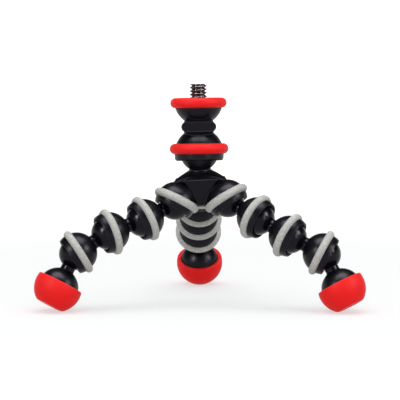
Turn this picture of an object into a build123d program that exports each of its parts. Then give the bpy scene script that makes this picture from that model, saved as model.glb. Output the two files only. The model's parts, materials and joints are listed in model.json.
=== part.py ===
from build123d import *
import os
from math import acos, cos, degrees, radians, sin, sqrt

# Flexible leg tripod for a small camera, in millimetres.
# A three-way hub carries a ball head on top and three legs below.
# Each leg is three ball-and-socket links and a magnetic foot in a red rubber boot.
# The origin is on the floor, under the middle of the whole tripod. X is its width, -Y its front.

# Leg joints: a ball in a thin liner, in a domed socket with a rubber ring round it
ball_diameter = 12.0
running_clearance = 0.05
liner_wall = 0.5
liner_depth = 3.5
liner_recess = 0.15
dome_wall = 0.9
dome_setback = 0.5
mouth_height = 2.45
mouth_round = 0.25
neck_length = 0.99
neck_diameter = 5.2
neck_fillet = 0.5
ball_blend = 0.15

# Grey rubber ring on each leg socket: how deep it sits in the dome and how far it stands out
ring_seat = 0.4
ring_proud = 1.17
ring_width = 2.72
hub_ring_width = 3.0
ring_setback = 1.25

# Foot: ball, round core, red boot and disc magnet
foot_neck_length = 1.56
foot_core_diameter = 14.8
boot_wall = 1.33
boot_rim_setback = 2.2
boot_rim_round = 0.5
boot_corner = 1.4
boot_floor = 0.9
core_end_cut = 1.22
magnet_diameter = 6.0
magnet_thickness = 2.0
fit_gap = 0.02

# Hub: three sockets under a three-sided body. Its shoulder slopes down from the collar to three flats, and
# further down to an arm over each socket. A round scoop under each arm leaves a web behind the socket's dome.
socket_circle_diameter = 22.4
socket_splay_angle = 33.2
hub_flat_distance = 6.2
hub_corner_radius = 10.6
hub_bottom_depth = 2.25
hub_top = 10.6
flat_drop = 2.0
arm_drop = 2.45
arm_thickness = 0.35
hub_bottom_chamfer = 0.9
scoop_clearance = 1.2
scoop_offset = 1.7
scoop_height = 0.7
web_thickness = 2.4

# Ball stud of the head, snapped into the hub
head_ball_diameter = 14.1
head_neck_diameter = 8.0
head_neck_length = 0.64
head_neck_fillet = 0.4
collar_diameter = 9.4
collar_thickness = 0.4
shank_diameter = 5.0
shank_length = 6.5
bead_diameter = 5.8
bead_width = 1.2
bead_height = 2.6

# Head: socket dome below, camera bowl above, and a flattened grip between them
head_liner_wall = 0.55
head_liner_depth = 3.5
head_liner_recess = 0.2
head_dome_wall = 1.3
head_mouth_height = 3.0
head_lip_proud = 0.1
head_lip_taper = 0.22
head_lip_round = 0.8
bowl_gap = 1.0
bowl_cut = 2.7
grip_depth = 13.2
grip_corner = 1.3
grip_drops = (3.2, 2.1)
grip_rises = (1.9, 3.8)
grip_low_half_widths = (4.4, 5.55)
grip_high_half_widths = (5.4, 4.2)
badge_width = 12.8
badge_tall = 3.85
badge_drop = 0.1
badge_depth = 1.5
badge_proud = 0.35

# Red rubber ring on the head socket, and the red pad under the camera
head_ring_seat = 0.4
head_ring_proud = 1.8
head_ring_width = 3.86
head_ring_setback = 1.39
pad_diameter = 20.65
pad_thickness = 3.75
pad_round = 1.8
pad_bore_clearance = 0.1

# Camera screw: a quarter-inch end over a thinner neck, with a hexagonal foot sunk in the bowl
screw_diameter = 6.35
screw_neck_diameter = 5.2
screw_reach = 5.1
screw_chamfer = 0.5
screw_hexagon = 9.0
screw_hexagon_thick = 1.6

# Pose of the photograph, in degrees: leans are off straight down, headings turn from +X towards +Y.
# The right and rear second links' leans are worked out, so that all three feet stand on the floor.
hub_lean_left_angle = 2.7
hub_lean_front_angle = 4.2
head_lean_left_angle = 0.8
head_lean_back_angle = 4.9
socket_heading_angles = {"left": 210.0, "right": 330.0, "rear": 90.0}
first_lean_angles = {"left": 66.3, "right": 65.9, "rear": 64.8}
left_second_lean_angle = 72.2
third_lean_angles = {"left": 58.4, "right": 63.75, "rear": 63.4}
foot_lean_angles = {"left": 29.5, "right": 29.7, "rear": 28.1}
heading_angles = {
    "left": (201.9, 199.1, 190.4, 203.3),
    "right": (330.2, 337.8, 350.6, 334.9),
    "rear": (94.6, 89.7, 90.6, 86.1),
}

# Radii worked out from the sizes above
ball_radius = ball_diameter / 2
neck_radius = neck_diameter / 2
liner_inner_radius = ball_radius + running_clearance
liner_outer_radius = liner_inner_radius + liner_wall
cavity_radius = liner_outer_radius + running_clearance
dome_radius = cavity_radius + dome_wall
dome_diameter = 2 * dome_radius
ring_bore = 2 * (dome_radius - ring_seat)
ring_radius = dome_radius + ring_proud
ring_diameter = 2 * ring_radius
foot_core_radius = foot_core_diameter / 2
ball_to_neck = sqrt(ball_radius**2 - neck_radius**2)
link_pitch = ball_to_neck + neck_length + sqrt(dome_radius**2 - neck_radius**2) + dome_setback
foot_reach = ball_to_neck + foot_neck_length + sqrt(foot_core_radius**2 - neck_radius**2)
boot_radius = foot_core_radius + boot_wall
socket_circle_radius = socket_circle_diameter / 2
head_ball_radius = head_ball_diameter / 2
head_neck_radius = head_neck_diameter / 2
head_neck_top = hub_top + running_clearance + collar_thickness + head_neck_length
head_ball_height = head_neck_top + sqrt(head_ball_radius**2 - head_neck_radius**2)
head_cavity_radius = head_ball_radius + head_liner_wall + 2 * running_clearance
head_dome_radius = head_cavity_radius + head_dome_wall
head_dome_diameter = 2 * head_dome_radius
head_ring_bore = 2 * (head_dome_radius - head_ring_seat)
head_ring_diameter = 2 * (head_dome_radius + head_ring_proud)
head_lip_top_radius = head_dome_radius + head_lip_proud
head_lip_end_radius = head_lip_top_radius - head_lip_taper
bowl_height = head_dome_diameter + bowl_gap
bowl_top = bowl_height - bowl_cut
grip_middle = bowl_height / 2
scoop_radius = dome_radius + scoop_clearance
scoop_circle_radius = socket_circle_radius + scoop_offset
arm_bottom = hub_top - arm_drop - arm_thickness
core_end = foot_core_radius - core_end_cut
boot_length = core_end + fit_gap + boot_floor
boot_tall = boot_length + boot_rim_setback
pocket_diameter = magnet_diameter + 2 * fit_gap
pocket_depth = magnet_thickness + fit_gap

# Ways a rectangle sits on its point in a half section: outward, up from it, down from it, outward and down,
# outward and up
outward_of = (Align.MIN, Align.CENTER)
above = (Align.CENTER, Align.MIN)
below = (Align.CENTER, Align.MAX)
outward_below = (Align.MIN, Align.MAX)
outward_above = (Align.MIN, Align.MIN)

os.makedirs("parts", exist_ok=True)


def save(builder, name):
    """Label the finished piece and write it to its own file."""
    builder.part.label = name
    export_step(builder.part, f"parts/{name}.step")
    print(f"{name}: {builder.part.volume:.1f} mm3")


def section(frame):
    """Plane through the frame's Z axis: its X is the radius and its Y runs along that axis."""
    return Plane(origin=frame.origin, x_dir=frame.x_dir, z_dir=-frame.y_dir)


def spin(frame):
    """The frame's Z axis, as an axis to revolve about and to sort along."""
    return Axis(frame.origin, frame.z_dir)


def rings_of(edges, radius):
    """The round edges of a given radius."""
    return edges.filter_by(GeomType.CIRCLE).filter_by(lambda edge: abs(edge.radius - radius) < fit_gap)


def direction(lean, heading):
    """Unit vector that leans off straight down towards a heading."""
    across = sin(radians(lean))
    return Vector(across * cos(radians(heading)), across * sin(radians(heading)), -cos(radians(lean)))


# Where everything is in the pose of the photograph

hub_across = Vector(cos(radians(hub_lean_left_angle)), 0, sin(radians(hub_lean_left_angle)))
hub_up = Vector(
    -sin(radians(hub_lean_left_angle)) * cos(radians(hub_lean_front_angle)),
    -sin(radians(hub_lean_front_angle)),
    cos(radians(hub_lean_left_angle)) * cos(radians(hub_lean_front_angle)),
)
hub_back = hub_up.cross(hub_across)
corner_circle = sqrt((boot_radius - boot_corner) ** 2 - (boot_length - boot_corner) ** 2)


def outward(side):
    """Direction from the hub's axis towards a leg socket."""
    heading = radians(socket_heading_angles[side])
    return hub_across * cos(heading) + hub_back * sin(heading)


def socket_axis(side):
    """Direction in which a leg socket of the hub opens."""
    return outward(side) * sin(radians(socket_splay_angle)) - hub_up * cos(radians(socket_splay_angle))


def standing_height(lean):
    """Height of the boot's round middle above the floor, when the foot stands on its rounded corner."""
    rest = (boot_length - boot_corner) * cos(radians(lean)) + corner_circle * sin(radians(lean))
    return rest + boot_corner


def leg_drop(side, leans):
    """Drop from the hub's socket to the floor through links of the given leans, and the foot."""
    drop = sum(link_pitch * cos(radians(lean)) for lean in leans)
    return drop + foot_reach * cos(radians(foot_lean_angles[side])) + standing_height(foot_lean_angles[side])


left_socket_rise = (outward("left") * socket_circle_radius).Z
left_leans = (first_lean_angles["left"], left_second_lean_angle, third_lean_angles["left"])
hub_height = leg_drop("left", left_leans) - left_socket_rise


def leg_leans(side):
    """Leans of the three links and the foot of one leg."""
    socket_height = hub_height + (outward(side) * socket_circle_radius).Z
    left_over = socket_height - leg_drop(side, (first_lean_angles[side], third_lean_angles[side]))
    second = degrees(acos(left_over / link_pitch))
    return (first_lean_angles[side], second, third_lean_angles[side], foot_lean_angles[side])


def leg_points(side, hub_middle):
    """Centres of the four balls of a leg and of its boot, and the five directions along it."""
    points = [hub_middle + outward(side) * socket_circle_radius]
    ways = [socket_axis(side)]
    for lean, heading in zip(leg_leans(side), heading_angles[side]):
        ways.append(direction(lean, heading))
        reach = link_pitch if len(points) < len(heading_angles[side]) else foot_reach
        points.append(points[-1] + ways[-1] * reach)
    return points, ways


sides = tuple(socket_heading_angles)
untrimmed = Vector(0, 0, hub_height)
feet = {side: leg_points(side, untrimmed)[0][-1] for side in sides}
middle_x = (feet["left"].X + feet["right"].X) / 2
front_y = min(feet["left"].Y, feet["right"].Y)
middle_y = (front_y + feet["rear"].Y) / 2
hub_middle = Vector(-middle_x, -middle_y, hub_height)
hub_frame = Plane(origin=hub_middle, x_dir=hub_across, z_dir=hub_up)

head_axis = Vector(
    -sin(radians(head_lean_left_angle)),
    sin(radians(head_lean_back_angle)) * cos(radians(head_lean_left_angle)),
    cos(radians(head_lean_back_angle)) * cos(radians(head_lean_left_angle)),
)
head_middle = hub_middle + hub_up * head_ball_height
head_across = Vector(0, 1, 0).cross(head_axis)
head_frame = Plane(origin=head_middle, x_dir=head_across, z_dir=head_axis)
head_socket_frame = Plane(origin=head_middle, x_dir=head_across, z_dir=-head_axis)


# Pieces that repeat


def grip_ring(name, frame, bore, diameter, width, setback):
    """Rubber ring round a socket: flat inside and across, fully rounded outside."""
    tube = width / 2
    with BuildPart() as ring:
        with BuildSketch(section(frame)):
            with Locations((diameter / 2 - tube, -setback)):
                Circle(tube)
            with Locations((bore / 2, -setback)):
                Rectangle((diameter - bore) / 2 - tube, width, align=outward_of)
            with Locations((bore / 2, -setback)):
                Rectangle(diameter, width, align=outward_of, mode=Mode.INTERSECT)
        revolve(axis=spin(frame))
    save(ring, name)


def socket_liner(name, frame, inner_radius, wall, rim, depth):
    """Thin round liner that turns in a socket and grips the ball, cut flat at both ends."""
    with BuildPart() as liner:
        with BuildSketch(section(frame)):
            Circle(inner_radius + wall)
            Circle(inner_radius, mode=Mode.SUBTRACT)
            with Locations((0, rim)):
                Rectangle(inner_radius + wall, rim + depth, align=outward_below, mode=Mode.INTERSECT)
        revolve(axis=spin(frame))
    save(liner, name)


def leg_link(name, frame):
    """One leg link: a ball on a short neck, and a domed socket, where the frame is, for the next ball."""
    with BuildPart() as link:
        with BuildSketch(section(frame)):
            with Locations((0, -link_pitch)):
                Circle(ball_radius)
                Rectangle(neck_diameter, link_pitch, align=above)
            with Locations((0, -dome_setback)):
                Circle(dome_radius)
            Circle(cavity_radius, mode=Mode.SUBTRACT)
            with Locations((0, mouth_height)):
                Rectangle(dome_diameter, dome_diameter, align=above, mode=Mode.SUBTRACT)
            with Locations((ring_bore / 2, -ring_setback)):
                Rectangle(dome_radius, ring_width, align=outward_of, mode=Mode.SUBTRACT)
            Rectangle(dome_diameter, 4 * link_pitch, align=outward_of, mode=Mode.INTERSECT)
        revolve(axis=spin(frame))
        neck_ends = rings_of(link.edges(), neck_radius).sort_by(spin(frame))
        fillet(neck_ends[-1], neck_fillet)
        neck_ends = rings_of(link.edges(), neck_radius).sort_by(spin(frame))
        fillet(neck_ends[0], ball_blend)
        mouth = link.edges().group_by(spin(frame))[-1].sort_by(SortBy.RADIUS)
        fillet(mouth[-1], mouth_round)
    save(link, name)


def foot_core(name, frame):
    """Ball, neck and round core of a foot, with the magnet's pocket in its flat end."""
    with BuildPart() as core:
        with BuildSketch(section(frame)):
            with Locations((0, -foot_reach)):
                Circle(ball_radius)
                Rectangle(neck_diameter, foot_reach, align=above)
            Circle(foot_core_radius)
            with Locations((0, core_end)):
                Rectangle(foot_core_diameter, foot_core_diameter, align=above, mode=Mode.SUBTRACT)
            with Locations((0, core_end)):
                Rectangle(pocket_diameter, pocket_depth, align=below, mode=Mode.SUBTRACT)
            Rectangle(foot_core_diameter, 4 * foot_reach, align=outward_of, mode=Mode.INTERSECT)
        revolve(axis=spin(frame))
        neck_ends = rings_of(core.edges(), neck_radius).sort_by(spin(frame))
        fillet(neck_ends[-1], neck_fillet)
        neck_ends = rings_of(core.edges(), neck_radius).sort_by(spin(frame))
        fillet(neck_ends[0], ball_blend)
    save(core, name)


def foot_boot(name, frame):
    """Rubber boot stretched over a foot core: a round cup with a flat end and a rounded rim."""
    with BuildPart() as boot:
        with BuildSketch(section(frame)):
            Circle(boot_radius)
            with Locations((0, boot_length)):
                Rectangle(boot_radius, boot_tall, align=outward_below, mode=Mode.INTERSECT)
        revolve(axis=spin(frame))
        with BuildSketch(section(frame)):
            Circle(foot_core_radius + fit_gap)
            with Locations((0, core_end + fit_gap)):
                Rectangle(boot_radius, 2 * boot_radius, align=outward_below, mode=Mode.INTERSECT)
        revolve(axis=spin(frame), mode=Mode.SUBTRACT)
        flat_edge = boot.edges().group_by(spin(frame))[-1]
        fillet(flat_edge, boot_corner)
        rim = boot.edges().group_by(spin(frame))[0].sort_by(SortBy.RADIUS)
        fillet(rim[-1], boot_rim_round)
    save(boot, name)


def foot_magnet(name, frame):
    """Disc magnet in the end of a foot core, behind the boot's floor."""
    with BuildPart() as magnet:
        with BuildSketch(Plane(frame.origin + frame.z_dir * core_end, frame.x_dir, frame.z_dir)):
            Circle(magnet_diameter / 2)
        extrude(amount=-magnet_thickness)
    save(magnet, name)


# Hub body


def three_sided(flat_distance, corner_radius):
    """Outline with three flats, facing between the legs, and three rounded corners over them."""
    Circle(corner_radius)
    RegularPolygon(flat_distance, 3, major_radius=False, rotation=90, mode=Mode.INTERSECT)


socket_frames = {}
scoop_frames = {}
web_frames = {}
for side in sides:
    points, ways = leg_points(side, hub_middle)
    socket_frames[side] = Plane(origin=points[0], z_dir=ways[0])
    web_frames[side] = Plane(origin=hub_middle, x_dir=outward(side), z_dir=hub_up)
    scoop_middle = hub_middle + outward(side) * scoop_circle_radius + hub_up * scoop_height
    scoop_frames[side] = Plane(origin=scoop_middle, x_dir=outward(side), z_dir=hub_up)

with BuildPart() as hub:
    with BuildSketch(hub_frame.offset(-hub_bottom_depth)):
        three_sided(hub_flat_distance, hub_corner_radius)
    extrude(amount=hub_bottom_depth + hub_top - flat_drop)
    chamfer(hub.edges().group_by(spin(hub_frame))[0], hub_bottom_chamfer)
    with BuildSketch(hub_frame.offset(hub_top - flat_drop)):
        RegularPolygon(hub_flat_distance, 3, major_radius=False, rotation=90)
    with BuildSketch(hub_frame.offset(hub_top)):
        RegularPolygon(collar_diameter / 2, 3, major_radius=False, rotation=90)
    loft()
    with BuildSketch(section(hub_frame)):
        with BuildLine():
            Polyline(
                (0, hub_top),
                (collar_diameter / 2, hub_top),
                (hub_corner_radius, hub_top - arm_drop),
                (hub_corner_radius, -hub_top),
                (0, -hub_top),
                close=True,
            )
        make_face()
    revolve(axis=spin(hub_frame), mode=Mode.INTERSECT)
    for side in sides:
        with BuildSketch(section(scoop_frames[side])):
            Circle(scoop_radius)
            with Locations((0, arm_bottom - scoop_height)):
                Rectangle(scoop_radius, 4 * scoop_radius, align=outward_below, mode=Mode.INTERSECT)
        revolve(axis=spin(scoop_frames[side]), mode=Mode.SUBTRACT)
    for side in sides:
        with BuildSketch(section(web_frames[side])):
            Rectangle(socket_circle_radius - dome_setback, arm_bottom, align=outward_above)
        extrude(amount=web_thickness / 2, both=True)
    for side in sides:
        with BuildSketch(section(socket_frames[side])):
            with Locations((0, -dome_setback)):
                Circle(dome_radius)
            with Locations((0, mouth_height)):
                Rectangle(dome_radius, 4 * dome_radius, align=outward_below, mode=Mode.INTERSECT)
        revolve(axis=spin(socket_frames[side]))
    for side in sides:
        with BuildSketch(section(socket_frames[side])):
            Circle(cavity_radius)
            with Locations((ring_bore / 2, -ring_setback)):
                Rectangle(ring_radius - ring_bore / 2, hub_ring_width, align=outward_of)
            Rectangle(dome_diameter, 4 * dome_radius, align=outward_of, mode=Mode.INTERSECT)
        revolve(axis=spin(socket_frames[side]), mode=Mode.SUBTRACT)
    with BuildSketch(section(hub_frame)):
        with Locations((0, hub_top)):
            Rectangle(
                shank_diameter / 2 + running_clearance,
                shank_length + running_clearance,
                align=outward_below,
            )
        with Locations((0, hub_top - bead_height)):
            Rectangle(
                bead_diameter / 2 + running_clearance,
                bead_width + 2 * running_clearance,
                align=outward_of,
            )
    revolve(axis=spin(hub_frame), mode=Mode.SUBTRACT)
save(hub, "hub_body")

# Ball stud: ball, neck and collar above the hub, shank and snap bead inside it
collar_base = hub_top + running_clearance
with BuildPart() as stud:
    with BuildSketch(section(hub_frame)):
        with Locations((0, head_ball_height)):
            Circle(head_ball_radius)
            Rectangle(head_neck_diameter, head_ball_height - collar_base, align=below)
        with Locations((0, collar_base)):
            Rectangle(collar_diameter, collar_thickness, align=above)
            Rectangle(shank_diameter, shank_length, align=below)
        with Locations((0, hub_top - bead_height)):
            Rectangle(bead_diameter, bead_width)
        Rectangle(head_ball_radius, 4 * head_ball_height, align=outward_of, mode=Mode.INTERSECT)
    revolve(axis=spin(hub_frame))
    neck_foot = rings_of(stud.edges(), head_neck_radius).sort_by(spin(hub_frame))[0]
    fillet(neck_foot, head_neck_fillet)
save(stud, "head_ball_stud")

# Head housing: one moulding from the socket's lip up to the camera bowl
with BuildPart() as housing:
    with BuildSketch(section(head_frame)):
        Circle(head_dome_radius)
        with Locations((0, -head_mouth_height)):
            Rectangle(head_dome_diameter, 4 * head_dome_radius, align=above, mode=Mode.INTERSECT)
        with BuildLine():
            Polyline(
                (0, 0),
                (head_lip_top_radius, 0),
                (head_lip_end_radius, -head_mouth_height),
                (0, -head_mouth_height),
                close=True,
            )
        make_face()
        Rectangle(head_dome_diameter, 4 * head_dome_diameter, align=outward_of, mode=Mode.INTERSECT)
    revolve(axis=spin(head_frame))
    lip_edge = housing.edges().group_by(spin(head_frame))[0].sort_by(SortBy.RADIUS)[-1]
    fillet(lip_edge, head_lip_round)
    with BuildSketch(section(head_frame)):
        with Locations((0, bowl_height)):
            Circle(head_dome_radius)
        with Locations((0, bowl_top)):
            Rectangle(head_dome_diameter, head_dome_diameter, align=outward_below, mode=Mode.INTERSECT)
    revolve(axis=spin(head_frame))
    with BuildSketch(section(head_frame)):
        with BuildLine():
            low = [(width, grip_middle - drop) for width, drop in zip(grip_low_half_widths, grip_drops)]
            high = [(width, grip_middle + rise) for width, rise in zip(grip_high_half_widths, grip_rises)]
            right = low + high
            left = [(-width, level) for width, level in right]
            Polyline(*right, *reversed(left), close=True)
        make_face()
        fillet(vertices(), grip_corner)
    extrude(amount=grip_depth / 2, both=True)
    with BuildSketch(section(head_frame).offset(grip_depth / 2 + badge_proud)):
        with Locations((0, grip_middle - badge_drop)):
            SlotOverall(badge_width, badge_tall)
    extrude(amount=-badge_depth)
    with BuildSketch(section(head_frame)):
        Circle(head_cavity_radius)
        with Locations((head_ring_bore / 2, head_ring_setback)):
            Rectangle(head_dome_radius, head_ring_width, align=outward_of)
        Rectangle(head_dome_diameter, 4 * head_dome_radius, align=outward_of, mode=Mode.INTERSECT)
    revolve(axis=spin(head_frame), mode=Mode.SUBTRACT)
    with BuildSketch(head_frame.offset(bowl_top)):
        RegularPolygon(screw_hexagon / 2 + fit_gap, 6, major_radius=False)
    extrude(amount=-(screw_hexagon_thick + fit_gap), mode=Mode.SUBTRACT)
save(housing, "head_housing")

# Camera pad and camera screw
with BuildPart() as pad:
    with BuildSketch(head_frame.offset(bowl_top)):
        Circle(pad_diameter / 2)
    extrude(amount=pad_thickness)
    fillet(pad.edges().filter_by(GeomType.CIRCLE), pad_round)
    with BuildSketch(head_frame.offset(bowl_top)):
        Circle(screw_diameter / 2 + pad_bore_clearance)
    extrude(amount=pad_thickness, mode=Mode.SUBTRACT)
save(pad, "camera_pad")

with BuildPart() as screw:
    with BuildSketch(head_frame.offset(bowl_top)):
        RegularPolygon(screw_hexagon / 2, 6, major_radius=False)
    extrude(amount=-screw_hexagon_thick)
    with BuildSketch(head_frame.offset(bowl_top)):
        Circle(screw_neck_diameter / 2)
    extrude(amount=pad_thickness)
    with BuildSketch(head_frame.offset(bowl_top + pad_thickness)):
        Circle(screw_diameter / 2)
    extrude(amount=screw_reach)
    chamfer(screw.edges().group_by(spin(head_frame))[-1], screw_chamfer)
save(screw, "camera_screw")

head_ring_sizes = (head_ring_bore, head_ring_diameter, head_ring_width, head_ring_setback)
grip_ring("head_ring", head_socket_frame, *head_ring_sizes)
socket_liner(
    "head_liner",
    head_socket_frame,
    head_ball_radius + running_clearance,
    head_liner_wall,
    head_mouth_height - head_liner_recess,
    head_liner_depth,
)

# Legs: a liner and a ring at each socket, three links, and the foot
for side in sides:
    points, ways = leg_points(side, hub_middle)
    for count, (point, way) in enumerate(zip(points[:-1], ways[:-1])):
        frame = Plane(origin=point, z_dir=way)
        ring_name = f"{side}_hub_ring" if count == 0 else f"{side}_ring_{count}"
        width = hub_ring_width if count == 0 else ring_width
        grip_ring(ring_name, frame, ring_bore, ring_diameter, width, ring_setback)
        socket_liner(
            f"{side}_liner_{count + 1}",
            frame,
            liner_inner_radius,
            liner_wall,
            mouth_height - liner_recess,
            liner_depth,
        )
        if count > 0:
            leg_link(f"{side}_link_{count}", frame)
    foot_frame = Plane(origin=points[-1], z_dir=ways[-1])
    foot_core(f"{side}_foot_core", foot_frame)
    foot_boot(f"{side}_foot_boot", foot_frame)
    foot_magnet(f"{side}_foot_magnet", foot_frame)


def show_pivot(name, count, point, way):
    """Print a ball's centre and its socket's direction, for whoever fits joints to them."""
    numbers = [f"{value:.9f}" for value in (*point, *way)]
    print("pivot", name, count, *numbers)


for side in sides:
    points, ways = leg_points(side, hub_middle)
    for count, (point, way) in enumerate(zip(points, ways)):
        show_pivot(side, count, point, way)
show_pivot("hub", 0, hub_middle, hub_up)
show_pivot("head", 0, head_middle, head_axis)
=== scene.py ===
import json
import math

import bmesh
import bpy
import numpy as np
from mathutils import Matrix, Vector


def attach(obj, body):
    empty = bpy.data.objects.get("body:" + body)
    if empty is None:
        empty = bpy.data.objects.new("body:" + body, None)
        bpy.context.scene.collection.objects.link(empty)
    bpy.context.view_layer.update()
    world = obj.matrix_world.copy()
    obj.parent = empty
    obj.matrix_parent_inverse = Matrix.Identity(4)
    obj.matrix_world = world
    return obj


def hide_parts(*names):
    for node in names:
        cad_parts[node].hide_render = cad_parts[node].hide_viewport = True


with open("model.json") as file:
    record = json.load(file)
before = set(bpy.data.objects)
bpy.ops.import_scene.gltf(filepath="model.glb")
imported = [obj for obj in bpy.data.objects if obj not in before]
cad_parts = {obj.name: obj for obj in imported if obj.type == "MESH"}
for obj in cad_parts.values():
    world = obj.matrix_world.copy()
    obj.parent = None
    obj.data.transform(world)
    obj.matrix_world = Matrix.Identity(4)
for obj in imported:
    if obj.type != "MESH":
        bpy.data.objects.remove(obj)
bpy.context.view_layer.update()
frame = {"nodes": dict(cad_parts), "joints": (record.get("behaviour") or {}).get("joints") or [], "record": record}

mm = 0.001
places = {joint["name"]: joint for joint in frame["joints"]}
mounts = {mount["name"]: mount for mount in frame["record"]["mounts"]}
sides = ("left", "right", "rear")
print("frame loaded:", len(frame["nodes"]), "nodes")


# Where the pieces are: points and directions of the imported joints, in millimetres

def pointOf(item):
    return np.array(item["pos_m"]) / mm


def unit(vector):
    vector = np.asarray(vector, float)
    return vector / np.linalg.norm(vector)


def wayOf(item):
    return unit(item["axis"])


# The direction square to a way that lies closest to a hint
def squareTo(way, hint=(0.0, -1.0, 0.0)):
    return unit(np.array(hint) - way * np.dot(hint, way))


def linkPlace(side, number):
    joint = places[f"{side}_swivel_{number + 1}"]
    return pointOf(joint), wayOf(joint)


def footPlace(side):
    face = mounts[f"{side}_magnet_face"]
    return pointOf(face) - wayOf(face) * foot["length"], wayOf(face)


# Sizes that pieces share, in millimetres
legJoint = {
    "ball": 6.0, "running": 0.05, "linerWall": 0.5, "domeWall": 0.9, "domeBack": 0.5, "mouth": 2.45,
    "linerRecess": 0.8, "linerDepth": 3.5, "neck": 2.6, "neckFillet": 0.55, "ballBlend": 0.2,
    "mouthChamfer": 0.6, "soft": 0.07,
}
legJoint["linerIn"] = legJoint["ball"] + legJoint["running"]
legJoint["linerOut"] = legJoint["linerIn"] + legJoint["linerWall"]
legJoint["cavity"] = legJoint["linerOut"] + legJoint["running"]
legJoint["dome"] = legJoint["cavity"] + legJoint["domeWall"]
legRing = {"sunk": 0.4, "proud": 1.17, "width": 2.72, "hubWidth": 3.0, "back": 1.25}
legRing["seat"] = legJoint["dome"] - legRing["sunk"]
legRing["out"] = legJoint["dome"] + legRing["proud"]
foot = {
    "core": 7.4, "wall": 1.32, "length": 7.1, "floor": 0.9, "rimBack": 2.2, "corner": 1.4, "gap": 0.02,
    "pocket": 3.02, "pocketDeep": 2.02, "bootSoft": 0.16,
}


# Shapes as numpy surfaces

# Points of a circle's arc in the (radius, height) plane: centre + size * (cos, sin) of evenly spaced angles
def arc(centre, size, start, end, count=48):
    angles = np.radians(np.linspace(start, end, count))
    return np.stack([centre[0] + size * np.cos(angles), centre[1] + size * np.sin(angles)], axis=1)


# Angle on a circle at which its point is so far off the axis, or so high above the circle's middle
def angleOff(size, distance):
    return math.degrees(math.acos(distance / size))


def angleUp(size, height):
    return math.degrees(math.asin(height / size))


# The smaller and the larger of two, rounded where they meet: soft * log(e^(a / soft) + e^(b / soft)) is the
# larger, and the smaller is the same with every sign turned
def softMin(a, b, soft):
    return -soft * np.logaddexp(-a / soft, -b / soft)


def softMax(a, b, soft):
    return soft * np.logaddexp(a / soft, b / soft)


# Points at even distances along a line
def evenly(points, step):
    keep = np.concatenate([[True], np.linalg.norm(np.diff(points, axis=0), axis=1) > 1e-9])
    points = points[keep]
    travel = np.concatenate([[0], np.cumsum(np.linalg.norm(np.diff(points, axis=0), axis=1))])
    marks = np.linspace(0, travel[-1], max(int(travel[-1] / step), 8) + 1)
    return np.stack([np.interp(marks, travel, points[:, axis]) for axis in (0, 1)], axis=1)


# Softens every corner of a profile: evenly spaced points are averaged with a bell-shaped window of the given
# width. A line that ends on the axis is mirrored in it first, so that it stays smooth there. Points are then
# spread by length plus turning, so that a straight run gets few of them.
def softened(points, soft, closed=False, step=0.03, finest=0.05, coarsest=0.45, turnStep=9):
    points = np.asarray(points, float)
    if closed:
        points = np.vstack([points, points[:1]])
    line = evenly(points, step)
    reach = int(math.ceil(3 * soft / step))
    window = np.exp(-0.5 * (np.arange(-reach, reach + 1) * step / soft) ** 2)
    window /= window.sum()
    if closed:
        loop = line[:-1]
        padded = np.vstack([loop[-reach:], loop, loop[:reach]])
    else:
        mirror = np.array([-1.0, 1.0])
        padded = np.vstack([line[1:reach + 1][::-1] * mirror, line, line[-reach - 1:-1][::-1] * mirror])
    smooth = np.stack([np.convolve(padded[:, axis], window, "valid") for axis in (0, 1)], axis=1)
    if closed:
        smooth = np.vstack([smooth, smooth[:1]])
    else:
        smooth[0, 0] = smooth[-1, 0] = 0.0
    steps = np.diff(smooth, axis=0)
    length = np.linalg.norm(steps, axis=1)
    turning = np.abs(np.gradient(np.unwrap(np.arctan2(steps[:, 1], steps[:, 0]))))
    weight = length / coarsest + np.minimum(np.degrees(turning) / turnStep, length / finest)
    travel = np.concatenate([[0], np.cumsum(weight)])
    marks = np.linspace(0, travel[-1], int(math.ceil(travel[-1])) + 1)
    thinned = np.stack([np.interp(marks, travel, smooth[:, axis]) for axis in (0, 1)], axis=1)
    return thinned[:-1] if closed else thinned


# How sharply the surface bulges at each point: twice the fall below the tangent plane over the distance
# squared, averaged over the edges there, then scaled so that a rounded corner gives 1 and a broad curve 0
def edgeMask(points, quads, triangles, gentle=0.7, sharp=2.4):
    corners = [quads[:, [0, 1, 2]], quads[:, [0, 2, 3]]] + ([triangles] if len(triangles) else [])
    normals = np.zeros_like(points)
    for a, b, c in (part.T for part in corners):
        face = np.cross(points[b] - points[a], points[c] - points[a])
        for corner in (a, b, c):
            np.add.at(normals, corner, face)
    normals /= np.maximum(np.linalg.norm(normals, axis=1, keepdims=True), 1e-12)
    total, count = np.zeros(len(points)), np.zeros(len(points))
    for first, second in ((0, 1), (1, 2), (2, 3), (3, 0)):
        for a, b in ((quads[:, first], quads[:, second]), (quads[:, second], quads[:, first])):
            step = points[b] - points[a]
            square = np.maximum(np.einsum("ij,ij->i", step, step), 1e-9)
            fall = -2 * np.einsum("ij,ij->i", step, normals[a]) / square
            np.add.at(total, a, fall)
            np.add.at(count, a, 1)
    bulge = total / np.maximum(count, 1)
    return np.clip((bulge - gentle) / (sharp - gentle), 0, 1)


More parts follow.
